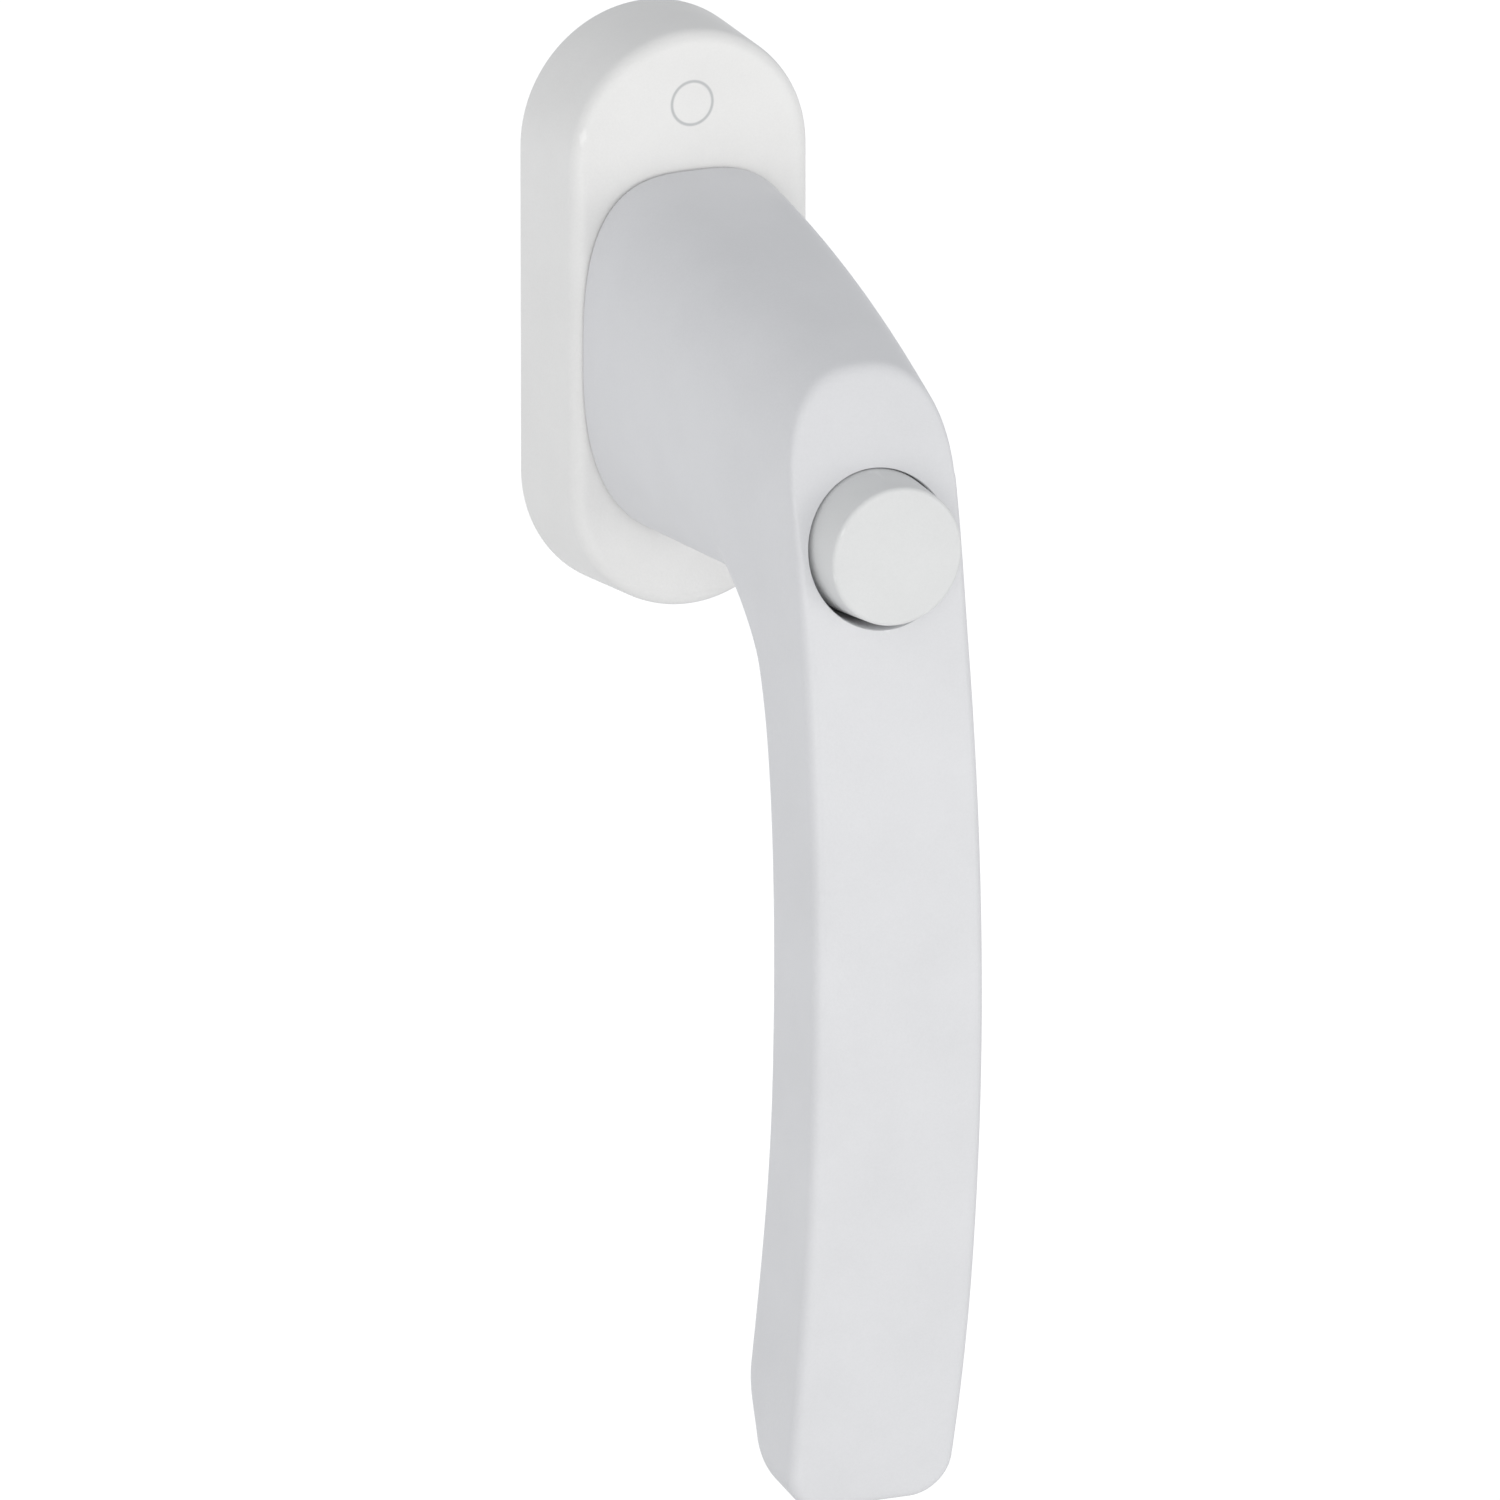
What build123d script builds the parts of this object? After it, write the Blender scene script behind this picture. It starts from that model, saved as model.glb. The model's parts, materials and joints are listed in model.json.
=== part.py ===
"""Push-button window handle: rosette, turning lever and locking button.

The origin is the spindle axis on the wall plane. -Y points into the room and
+Z up. The lever hangs down, which is the closed position.
"""

import math
import os

from build123d import *

os.makedirs("parts", exist_ok=True)

# Rosette
ROSETTE_HALF_WIDTH = 15.05
ROSETTE_END_OFFSET = 18.45
ROSETTE_DEPTH = 12.8
ROSETTE_DRAFT = 3.3
COVER_EDGE_FILLET = 1.6
COVER_WALL = 1.5
COVER_FRONT = 1.4
COVER_HOLE_R = 12.2
BASE_HALF_WIDTH = 12.7
BASE_DEPTH = 11.2
LUG_R = 5.0
LUG_LENGTH = 8.0
SCREW_OFFSET = 21.5
SCREW_R = 2.5
SCREW_SHANK_R = 2.4
SCREW_BORE_R = 2.65
SCREW_HEAD_R = 4.6
SCREW_HEAD_DEPTH = 2.4
SCREW_HEAD_FRONT = 10.8
SCREW_TIP = 16.0
CLIP_HALF_LENGTH = 3.0
CLIP_OFFSET = 19.0

# Bearing, detent and lock
JOURNAL_R = 6.4
JOURNAL_END = 0.3
BUSH_R = 7.6
RUNNING_GAP = 0.05
POCKET_R = 11.8
POCKET_DEPTH = 3.3
GROOVE_FLOOR = 6.1
PIN_ORBIT = 9.6
LOCK_PIN_R = 1.2
SLOT_HALF_WIDTH = 1.35
LOCK_RING_R = 11.9
LOCK_RING_BACK = 9.8
DETENT_R = 10.6
DETENT_BACK = 1.8
DETENT_FRONT = 2.95
BALL_R = 1.5
BALL_ORBIT = 12.2
CHANNEL_R = 1.6
CHANNEL_END = 17.8
SPRING_WIRE = 0.35
CIRCLIP_BACK = 0.5
CIRCLIP_FRONT = 1.1
CIRCLIP_GROOVE_R = 5.7

# Spindle
SPINDLE_SIDE = 7.0
SPINDLE_SOCKET = 7.06
SPINDLE_INSIDE = 27.0
SPINDLE_OUTSIDE = 20.0
CROSS_PIN_R = 1.2
CROSS_PIN_DEPTH = 5.6

# Lever
NECK_BACK = 13.1
NECK_FRONT = 60.5
NECK_BASE_HALF_WIDTH = 13.45
NECK_HEAD_HALF_WIDTH = 10.3
NECK_BASE_TOP = 17.35
NECK_HEAD_TOP = 6.3
NECK_BASE_BOTTOM = -24.0
NECK_HEAD_BOTTOM = -20.0
BOSS_BACK = 11.8
BOSS_R = 11.8
GRIP_HALF_WIDTH = 10.3
GRIP_TOP = -6.5
GRIP_END = -123.8
GRIP_APEX = -62.2
GRIP_FRONT = 66.9
GRIP_THICKNESS = 13.1
GRIP_ARC_R = 224.0
GRIP_CORNER_R = 4.5
GRIP_FRONT_EDGE_R = 1.7
GRIP_BACK_EDGE_R = 3.0
NECK_BLEND_R = 7.0

# Push button
BUTTON_Z = -13.6
BUTTON_R = 8.3
BUTTON_FACE = 66.0
BUTTON_STEP = 58.9
BUTTON_BACK = 56.3
BUTTON_EDGE_R = 0.7
SKIRT_R = 7.6
WELL_Z = -13.85
WELL_R = 8.7
WELL_FLOOR = 51.05
GUIDE_FLOOR = 0.8
GUIDE_R = 8.65
GUIDE_FRONT = 55.6
STUD_R = 2.4
STUD_TOP = 62.0
PLATE_R = 7.5
PLATE_THICKNESS = 1.0
ROD_R = 1.9
ROD_END = 41.4
ROD_CHANNEL_R = 3.2
CLIP_BACK = 48.9
CLIP_THICKNESS = 0.8
SHOULDER_BACK = 35.3
SHOULDER_FRONT = 37.3
COLLAR_R = 1.7
COLLAR_LENGTH = 1.9
PIN_CHANNEL_R = 1.75
PIN_BUSH_LENGTH = 3.0
PIN_TIP = 10.4


def room_plane(depth):
    """Plane parallel to the wall at a distance into the room."""
    return Plane.XZ.offset(depth)


def stadium(half_width):
    """Slot outline around the two rosette end centres."""
    SlotCenterToCenter(2 * ROSETTE_END_OFFSET, 2 * half_width, rotation=90)


def neck_outline(share):
    """Oval neck section: 0 at the rosette, 1 at the head of the grip."""
    half_width = NECK_BASE_HALF_WIDTH + share * (NECK_HEAD_HALF_WIDTH - NECK_BASE_HALF_WIDTH)
    top = NECK_BASE_TOP + share * (NECK_HEAD_TOP - NECK_BASE_TOP)
    bottom = NECK_BASE_BOTTOM + share * (NECK_HEAD_BOTTOM - NECK_BASE_BOTTOM)
    centre = (top + bottom) / 2
    half_height = (top - bottom) / 2
    power = 2 / (3.0 - 0.7 * share)
    points = []
    for step in range(32):
        angle = 2 * math.pi * step / 32
        x = half_width * math.copysign(abs(math.cos(angle)) ** power, math.cos(angle))
        z = half_height * math.copysign(abs(math.sin(angle)) ** power, math.sin(angle))
        points.append((x, centre + z))
    return points


def on_arc(edge, radius):
    """True for an edge that lies on one of the two arcs of the grip."""
    for share in (0, 0.25, 0.5, 0.75, 1):
        point = edge @ share
        reach = math.hypot(point.Y - (GRIP_ARC_R - GRIP_FRONT), point.Z - GRIP_APEX)
        if abs(reach - radius) > 0.02:
            return False
    return True


def coil(radius, wire, start, end, turns):
    """Open helical spring along +Z between two heights, as a private solid."""
    helix = Helix(pitch=(end - start - wire) / turns, height=end - start - wire, radius=radius)
    section = Plane(origin=helix @ 0, z_dir=helix % 0) * Circle(wire / 2)
    return Pos(0, 0, start + wire / 2) * sweep(section, path=helix)


# Rosette base: zinc plate with locating lugs, screw bores and bearing bore
with BuildPart() as rosette_base:
    with BuildSketch(room_plane(0)):
        stadium(BASE_HALF_WIDTH)
    extrude(amount=BASE_DEPTH)
    fillet(rosette_base.faces().sort_by(Axis.Y)[0].edges(), radius=0.8)
    with BuildSketch(room_plane(0)):
        with Locations((0, SCREW_OFFSET), (0, -SCREW_OFFSET)):
            Circle(LUG_R)
    extrude(amount=-LUG_LENGTH)
    chamfer(rosette_base.faces().sort_by(Axis.Y)[-1].edges(), length=0.6)
    chamfer(rosette_base.faces().sort_by(Axis.Y)[-1].edges(), length=0.6)
    with BuildSketch(room_plane(BASE_DEPTH)):
        with Locations((0, SCREW_OFFSET), (0, -SCREW_OFFSET)):
            Circle(SCREW_BORE_R)
    extrude(amount=-(BASE_DEPTH + LUG_LENGTH), mode=Mode.SUBTRACT)
    for side in (-1, 1):
        with BuildSketch(room_plane(BASE_DEPTH)):
            with Locations((0, side * SCREW_OFFSET)):
                Circle(SCREW_HEAD_R + 0.75)
        extrude(amount=-(SCREW_HEAD_DEPTH + 0.4), taper=44, mode=Mode.SUBTRACT)
    with BuildSketch(room_plane(BASE_DEPTH)):
        Circle(LOCK_RING_R + 0.05)
    extrude(amount=-(BASE_DEPTH - LOCK_RING_BACK), mode=Mode.SUBTRACT)
    with BuildSketch(room_plane(LOCK_RING_BACK)):
        Circle(PIN_ORBIT + SLOT_HALF_WIDTH)
        Circle(PIN_ORBIT - SLOT_HALF_WIDTH, mode=Mode.SUBTRACT)
    extrude(amount=-(LOCK_RING_BACK - GROOVE_FLOOR), mode=Mode.SUBTRACT)
    with BuildSketch(room_plane(0)):
        Circle(POCKET_R)
    extrude(amount=POCKET_DEPTH, mode=Mode.SUBTRACT)
    with BuildSketch(room_plane(0)):
        Circle(BUSH_R)
    extrude(amount=LOCK_RING_BACK, mode=Mode.SUBTRACT)
    for side in (-1, 1):
        with BuildSketch(Plane(origin=(0, -(BALL_R + 0.95), 0), z_dir=(0, 0, side))):
            Circle(CHANNEL_R)
        extrude(amount=CHANNEL_END, mode=Mode.SUBTRACT)
    with BuildSketch(room_plane(BASE_DEPTH)):
        with Locations((0, LOCK_RING_R + 1.2), (0, -LOCK_RING_R - 1.2)):
            Circle(1.1)
    extrude(amount=-3.0, mode=Mode.SUBTRACT)
    with BuildSketch(room_plane(BASE_DEPTH)):
        with Locations((0, SCREW_OFFSET + 6.6), (0, -SCREW_OFFSET - 6.6)):
            SlotOverall(9.0, 2.2)
    extrude(amount=-6.0, mode=Mode.SUBTRACT)
rosette_base.part.label = "rosette_base"
export_step(rosette_base.part, "parts/rosette_base.step")

# Rosette cover: drafted shell with a soft front edge, clear of the base
with BuildPart() as rosette_cover:
    with BuildSketch(room_plane(0)):
        stadium(ROSETTE_HALF_WIDTH)
    extrude(amount=ROSETTE_DEPTH, taper=ROSETTE_DRAFT)
    fillet(rosette_cover.faces().sort_by(Axis.Y)[0].edges(), radius=COVER_EDGE_FILLET)
    with BuildSketch(room_plane(0)):
        stadium(ROSETTE_HALF_WIDTH - COVER_WALL)
    extrude(amount=ROSETTE_DEPTH - COVER_FRONT, taper=ROSETTE_DRAFT, mode=Mode.SUBTRACT)
    with BuildSketch(room_plane(ROSETTE_DEPTH)):
        Circle(COVER_HOLE_R)
    extrude(amount=-ROSETTE_DEPTH, mode=Mode.SUBTRACT)
rosette_cover.part.label = "rosette_cover"
export_step(rosette_cover.part, "parts/rosette_cover.step")

# Cover clips: bent spring-steel strips on the long sides of the base
with BuildPart() as cover_clips:
    for side in (-1, 1):
        with BuildSketch(Plane.XY.offset(CLIP_OFFSET - 2 * CLIP_HALF_LENGTH)):
            with BuildLine():
                Polyline(
                    (side * (BASE_HALF_WIDTH + 0.02), -1.2),
                    (side * (BASE_HALF_WIDTH + 0.02), -7.0),
                    (side * (BASE_HALF_WIDTH + 0.12), -7.4),
                    (side * (BASE_HALF_WIDTH + 0.32), -7.4),
                    (side * (BASE_HALF_WIDTH + 0.24), -6.8),
                    (side * (BASE_HALF_WIDTH + 0.24), -1.2),
                    close=True,
                )
            make_face()
        extrude(amount=2 * CLIP_HALF_LENGTH)
        mirror(about=Plane.XY)
cover_clips.part.label = "cover_clips"
export_step(cover_clips.part, "parts/cover_clips.step")

# Lock ring: steel plate with the curved slot the lock pin travels in
slot_line = CenterArc((0, 0), PIN_ORBIT, -92, 184)
with BuildPart() as lock_ring:
    with BuildSketch(room_plane(LOCK_RING_BACK)):
        Circle(LOCK_RING_R)
        Circle(JOURNAL_R + 0.15, mode=Mode.SUBTRACT)
        SlotArc(slot_line, 2 * SLOT_HALF_WIDTH, mode=Mode.SUBTRACT)
        with Locations((0, PIN_ORBIT), (0, -PIN_ORBIT)):
            Circle(SLOT_HALF_WIDTH + 0.5, mode=Mode.SUBTRACT)
    extrude(amount=BASE_DEPTH - LOCK_RING_BACK)
lock_ring.part.label = "lock_ring"
export_step(lock_ring.part, "parts/lock_ring.step")

# Lock ring rivets: two pan-headed rivets beside the ring
with BuildPart() as ring_rivets:
    with BuildSketch(room_plane(BASE_DEPTH + 0.02)):
        with Locations((0, LOCK_RING_R + 1.2), (0, -LOCK_RING_R - 1.2)):
            Circle(1.9)
    extrude(amount=0.14)
    with BuildSketch(room_plane(BASE_DEPTH + 0.02)):
        with Locations((0, LOCK_RING_R + 1.2), (0, -LOCK_RING_R - 1.2)):
            Circle(1.05)
    extrude(amount=-2.8)
ring_rivets.part.label = "ring_rivets"
export_step(ring_rivets.part, "parts/ring_rivets.step")

# Neck bush: flanged plastic sleeve the lever journal turns in
with BuildPart() as neck_bush:
    with BuildSketch(room_plane(POCKET_DEPTH - 0.3)):
        Circle(9.0)
    extrude(amount=0.3)
    with BuildSketch(room_plane(POCKET_DEPTH - 0.3)):
        Circle(BUSH_R)
    extrude(amount=LOCK_RING_BACK - POCKET_DEPTH + 0.2)
    with BuildSketch(room_plane(0)):
        Circle(JOURNAL_R + RUNNING_GAP)
    extrude(amount=LOCK_RING_BACK, mode=Mode.SUBTRACT)
neck_bush.part.label = "neck_bush"
export_step(neck_bush.part, "parts/neck_bush.step")

# Fixing screws: two countersunk screws with cross recesses
with BuildPart() as fixing_screws:
    with BuildSketch(Plane.XY):
        with BuildLine():
            Polyline(
                (0, -SCREW_HEAD_FRONT),
                (SCREW_HEAD_R, -SCREW_HEAD_FRONT),
                (SCREW_HEAD_R, 0.3 - SCREW_HEAD_FRONT),
                (SCREW_SHANK_R, SCREW_HEAD_DEPTH - SCREW_HEAD_FRONT),
                (SCREW_SHANK_R, LUG_LENGTH + 0.1),
                (SCREW_R, LUG_LENGTH + 0.15),
                (SCREW_R, SCREW_TIP - 1.5),
                (SCREW_R - 0.8, SCREW_TIP),
                (0, SCREW_TIP),
                close=True,
            )
        make_face()
    revolve(axis=Axis.Y)
    with BuildSketch(room_plane(SCREW_HEAD_FRONT)):
        Rectangle(4.6, 1.0)
        Rectangle(1.0, 4.6)
    extrude(amount=-1.8, taper=12, mode=Mode.SUBTRACT)
screw_solid = fixing_screws.part
fixing_screws.part = Compound(
    children=[Pos(0, 0, SCREW_OFFSET) * screw_solid, Pos(0, 0, -SCREW_OFFSET) * screw_solid]
)
fixing_screws.part.label = "fixing_screws"
export_step(fixing_screws.part, "parts/fixing_screws.step")

# Detent balls and their springs in the radial channels
with BuildPart() as detent_balls:
    with Locations((0, -(BALL_R + 0.95), BALL_ORBIT), (0, -(BALL_R + 0.95), -BALL_ORBIT)):
        Sphere(BALL_R)
detent_balls.part.label = "detent_balls"
export_step(detent_balls.part, "parts/detent_balls.step")

detent_coil = coil(1.1, SPRING_WIRE, BALL_ORBIT + BALL_R + 0.05, CHANNEL_END - 0.1, 4)
with BuildPart() as detent_springs:
    with Locations((0, -(BALL_R + 0.95), 0)):
        add(detent_coil)
    mirror(about=Plane.XY)
detent_springs.part.label = "detent_springs"
export_step(detent_springs.part, "parts/detent_springs.step")

# Detent disc: notched steel disc keyed to the journal by two tabs
with BuildPart() as detent_disc:
    with BuildSketch(room_plane(DETENT_BACK)):
        Circle(DETENT_R)
        Circle(JOURNAL_R + 0.02, mode=Mode.SUBTRACT)
        with PolarLocations(DETENT_R + 0.9, 4):
            Circle(BALL_R, mode=Mode.SUBTRACT)
    extrude(amount=DETENT_FRONT - DETENT_BACK)
    with BuildSketch(room_plane(DETENT_BACK)):
        with Locations((JOURNAL_R, 0), (-JOURNAL_R, 0)):
            Rectangle(1.0, 2.0)
    extrude(amount=DETENT_FRONT - DETENT_BACK)
detent_disc.part.label = "detent_disc"
export_step(detent_disc.part, "parts/detent_disc.step")

# Wave washer: coned spring washer behind the detent disc
with BuildPart() as wave_washer:
    with BuildSketch(Plane.XY):
        with BuildLine():
            Polyline((6.45, -1.15), (9.4, -1.45), (9.4, -1.75), (6.45, -1.45), close=True)
        make_face()
    revolve(axis=Axis.Y)
wave_washer.part.label = "wave_washer"
export_step(wave_washer.part, "parts/wave_washer.step")

# Circlip: open retaining ring in the journal groove
with BuildPart() as circlip:
    with BuildSketch(room_plane(CIRCLIP_BACK)):
        Circle(7.6)
        Circle(CIRCLIP_GROOVE_R + 0.02, mode=Mode.SUBTRACT)
        with Locations((0, 7.6)):
            Rectangle(4.0, 6.0, mode=Mode.SUBTRACT)
        with Locations((-2.9, 7.6), (2.9, 7.6)):
            Circle(1.35)
            Circle(0.6, mode=Mode.SUBTRACT)
    extrude(amount=CIRCLIP_FRONT - CIRCLIP_BACK)
circlip.part.label = "circlip"
export_step(circlip.part, "parts/circlip.step")

# Glide ring: thin washer between the lever boss and the lock ring
with BuildPart() as glide_ring:
    with BuildSketch(room_plane(BASE_DEPTH + 0.05)):
        Circle(BOSS_R - 0.75)
        Circle(JOURNAL_R + 0.02, mode=Mode.SUBTRACT)
        with Locations((0, -PIN_ORBIT)):
            Circle(LOCK_PIN_R + 0.1, mode=Mode.SUBTRACT)
    extrude(amount=BOSS_BACK - BASE_DEPTH - 0.1)
glide_ring.part.label = "glide_ring"
export_step(glide_ring.part, "parts/glide_ring.step")

# Spindle: solid square bar with chamfered tip, and its cross pin
with BuildPart() as square_spindle:
    with BuildSketch(room_plane(-SPINDLE_OUTSIDE)):
        Rectangle(SPINDLE_SIDE, SPINDLE_SIDE)
    extrude(amount=SPINDLE_OUTSIDE + SPINDLE_INSIDE)
    chamfer(square_spindle.faces().sort_by(Axis.Y)[-1].edges(), length=1.0)
    chamfer(square_spindle.edges().filter_by(Axis.Y), length=0.35)
    with BuildSketch(Plane.YZ.offset(-8)):
        with Locations((-CROSS_PIN_DEPTH, 0)):
            Circle(CROSS_PIN_R + 0.02)
    extrude(amount=16, mode=Mode.SUBTRACT)
square_spindle.part.label = "square_spindle"
export_step(square_spindle.part, "parts/square_spindle.step")

with BuildPart() as spindle_pin:
    with BuildSketch(Plane.YZ.offset(-6.1)):
        with Locations((-CROSS_PIN_DEPTH, 0)):
            Circle(CROSS_PIN_R)
            Circle(0.5, mode=Mode.SUBTRACT)
    extrude(amount=12.2)
spindle_pin.part.label = "spindle_pin"
export_step(spindle_pin.part, "parts/spindle_pin.step")

# Lever: oblique neck and bowed flat-fronted grip cast in one piece
with BuildPart() as lever:
    with BuildSketch(room_plane(35)):
        with Locations((0, (GRIP_TOP + GRIP_END) / 2)):
            Rectangle(2 * GRIP_HALF_WIDTH, GRIP_TOP - GRIP_END)
    extrude(amount=35)
    with BuildSketch(Plane.YZ):
        with Locations((GRIP_ARC_R - GRIP_FRONT, GRIP_APEX)):
            Circle(GRIP_ARC_R - GRIP_THICKNESS)
    extrude(amount=20, both=True, mode=Mode.SUBTRACT)
    end_edges = lever.edges().filter_by(lambda e: e.center().Z < GRIP_END + 0.1)
    fillet(end_edges.sort_by(Axis.X)[0], radius=GRIP_CORNER_R)
    end_edges = lever.edges().filter_by(lambda e: e.center().Z < GRIP_END + 0.1)
    fillet(end_edges.sort_by(Axis.X)[-1], radius=GRIP_CORNER_R)
    for share in (0, 1 / 3, 2 / 3, 1):
        with BuildSketch(room_plane(NECK_BACK + share * (NECK_FRONT - NECK_BACK))):
            with BuildLine():
                Spline(*neck_outline(share), periodic=True)
            make_face()
    loft()
    with BuildSketch(Plane.YZ):
        with Locations((GRIP_ARC_R - GRIP_FRONT, GRIP_APEX)):
            Circle(GRIP_ARC_R)
    extrude(amount=20, both=True, mode=Mode.INTERSECT)
    back_edges = lever.edges().filter_by(lambda e: on_arc(e, GRIP_ARC_R - GRIP_THICKNESS))
    fillet(back_edges.filter_by(lambda e: e.center().Z < -30), radius=GRIP_BACK_EDGE_R)
    back_edges = lever.edges().filter_by(lambda e: on_arc(e, GRIP_ARC_R - GRIP_THICKNESS))
    junction = back_edges.filter_by(lambda e: e.center().Z > -30 and abs(e.center().X) < 8)
    fillet(junction, radius=NECK_BLEND_R)
    fillet(lever.edges().filter_by(lambda e: on_arc(e, GRIP_ARC_R)), radius=GRIP_FRONT_EDGE_R)
    with BuildSketch(room_plane(BOSS_BACK)):
        Circle(BOSS_R)
    extrude(amount=NECK_BACK - BOSS_BACK + 0.5)
    with BuildSketch(room_plane(JOURNAL_END)):
        Circle(JOURNAL_R)
    extrude(amount=BOSS_BACK)
    with BuildSketch(room_plane(CIRCLIP_BACK - 0.05)):
        Circle(JOURNAL_R + 1)
        Circle(CIRCLIP_GROOVE_R, mode=Mode.SUBTRACT)
    extrude(amount=CIRCLIP_FRONT - CIRCLIP_BACK + 0.1, mode=Mode.SUBTRACT)
    with BuildSketch(room_plane(JOURNAL_END)):
        with Locations((JOURNAL_R, 0), (-JOURNAL_R, 0)):
            Rectangle(1.1, 2.1)
    extrude(amount=DETENT_FRONT - JOURNAL_END + 0.05, mode=Mode.SUBTRACT)
    with BuildSketch(room_plane(JOURNAL_END)):
        Rectangle(SPINDLE_SOCKET, SPINDLE_SOCKET)
    extrude(amount=SPINDLE_INSIDE + 0.1, mode=Mode.SUBTRACT)
    with BuildSketch(Plane.YZ.offset(-8)):
        with Locations((-CROSS_PIN_DEPTH, 0)):
            Circle(CROSS_PIN_R + 0.02)
    extrude(amount=16, mode=Mode.SUBTRACT)
    with BuildSketch(room_plane(BOSS_BACK)):
        with Locations((0, -PIN_ORBIT)):
            Circle(PIN_CHANNEL_R)
    extrude(amount=SHOULDER_BACK - BOSS_BACK, mode=Mode.SUBTRACT)
    with BuildSketch(room_plane(SHOULDER_BACK)):
        with Locations((0, -PIN_ORBIT)):
            Circle(LOCK_PIN_R + RUNNING_GAP)
    extrude(amount=SHOULDER_FRONT - SHOULDER_BACK, mode=Mode.SUBTRACT)
    with BuildSketch(room_plane(SHOULDER_FRONT)):
        with Locations((0, -PIN_ORBIT)):
            Circle(ROD_CHANNEL_R)
    extrude(amount=WELL_FLOOR - SHOULDER_FRONT, mode=Mode.SUBTRACT)
    with BuildSketch(room_plane(WELL_FLOOR)):
        with Locations((0, WELL_Z)):
            Circle(WELL_R)
    extrude(amount=20, mode=Mode.SUBTRACT)
lever.part.label = "lever"
export_step(lever.part, "parts/lever.step")

# Button guide: plastic cup pressed into the well of the lever
with BuildPart() as button_guide:
    with BuildSketch(room_plane(WELL_FLOOR + 0.02)):
        with Locations((0, WELL_Z)):
            Circle(GUIDE_R)
    extrude(amount=GUIDE_FRONT - WELL_FLOOR)
    with BuildSketch(room_plane(WELL_FLOOR + GUIDE_FLOOR)):
        with Locations((0, BUTTON_Z)):
            Circle(SKIRT_R + RUNNING_GAP)
    extrude(amount=10, mode=Mode.SUBTRACT)
    with BuildSketch(room_plane(WELL_FLOOR)):
        with Locations((0, -PIN_ORBIT)):
            Circle(ROD_R + RUNNING_GAP)
    extrude(amount=2, mode=Mode.SUBTRACT)
button_guide.part.label = "button_guide"
export_step(button_guide.part, "parts/button_guide.step")

# Pin bush: bronze sleeve that guides the lock pin through the boss
with BuildPart() as pin_bush:
    with BuildSketch(room_plane(BOSS_BACK + 0.05)):
        with Locations((0, -PIN_ORBIT)):
            Circle(PIN_CHANNEL_R - 0.02)
            Circle(LOCK_PIN_R + RUNNING_GAP, mode=Mode.SUBTRACT)
    extrude(amount=PIN_BUSH_LENGTH)
pin_bush.part.label = "pin_bush"
export_step(pin_bush.part, "parts/pin_bush.step")

# Button spring between the shoulder in the neck and the plunger clip
button_coil = coil(2.6, 0.55, SHOULDER_FRONT + 0.02, CLIP_BACK - 0.02, 6)
with BuildPart() as button_spring:
    with Locations(Location((0, 0, -PIN_ORBIT), (90, 0, 0))):
        add(button_coil)
button_spring.part.label = "button_spring"
export_step(button_spring.part, "parts/button_spring.step")

# Push button: stepped cap with a socket for the plunger stud
with BuildPart() as push_button:
    with BuildSketch(room_plane(BUTTON_STEP)):
        with Locations((0, BUTTON_Z)):
            Circle(BUTTON_R)
    extrude(amount=BUTTON_FACE - BUTTON_STEP)
    fillet(push_button.faces().sort_by(Axis.Y)[0].edges(), radius=BUTTON_EDGE_R)
    with BuildSketch(room_plane(BUTTON_BACK)):
        with Locations((0, BUTTON_Z)):
            Circle(SKIRT_R)
    extrude(amount=BUTTON_STEP - BUTTON_BACK)
    with BuildSketch(room_plane(BUTTON_BACK)):
        with Locations((0, BUTTON_Z)):
            Circle(SKIRT_R - 1.4)
            Circle(STUD_R + 1.4, mode=Mode.SUBTRACT)
    extrude(amount=BUTTON_FACE - BUTTON_BACK - 1.6, mode=Mode.SUBTRACT)
    with BuildSketch(room_plane(BUTTON_BACK)):
        with Locations((0, BUTTON_Z)):
            Circle(STUD_R + 0.02)
    extrude(amount=STUD_TOP - BUTTON_BACK + 0.2, mode=Mode.SUBTRACT)
push_button.part.label = "push_button"
export_step(push_button.part, "parts/push_button.step")

# Plunger: plate and stud under the button with the offset rod to the lock pin
with BuildPart() as plunger:
    with BuildSketch(room_plane(BUTTON_BACK - 0.1 - PLATE_THICKNESS)):
        with Locations((0, BUTTON_Z)):
            Circle(PLATE_R)
    extrude(amount=PLATE_THICKNESS)
    with BuildSketch(room_plane(BUTTON_BACK - 0.1 - PLATE_THICKNESS)):
        with Locations((0, BUTTON_Z)):
            Circle(STUD_R)
    extrude(amount=STUD_TOP - BUTTON_BACK + PLATE_THICKNESS)
    with BuildSketch(room_plane(ROD_END)):
        with Locations((0, -PIN_ORBIT)):
            Circle(ROD_R)
    extrude(amount=BUTTON_BACK - PLATE_THICKNESS - ROD_END)
    with BuildSketch(room_plane(ROD_END)):
        with Locations((0, -PIN_ORBIT)):
            Circle(1.02)
    extrude(amount=4.2, mode=Mode.SUBTRACT)
    with BuildSketch(room_plane(CLIP_BACK)):
        with Locations((0, -PIN_ORBIT)):
            Circle(ROD_R + 0.2)
            Circle(ROD_R - 0.4, mode=Mode.SUBTRACT)
    extrude(amount=CLIP_THICKNESS, mode=Mode.SUBTRACT)
plunger.part.label = "plunger"
export_step(plunger.part, "parts/plunger.step")

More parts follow.
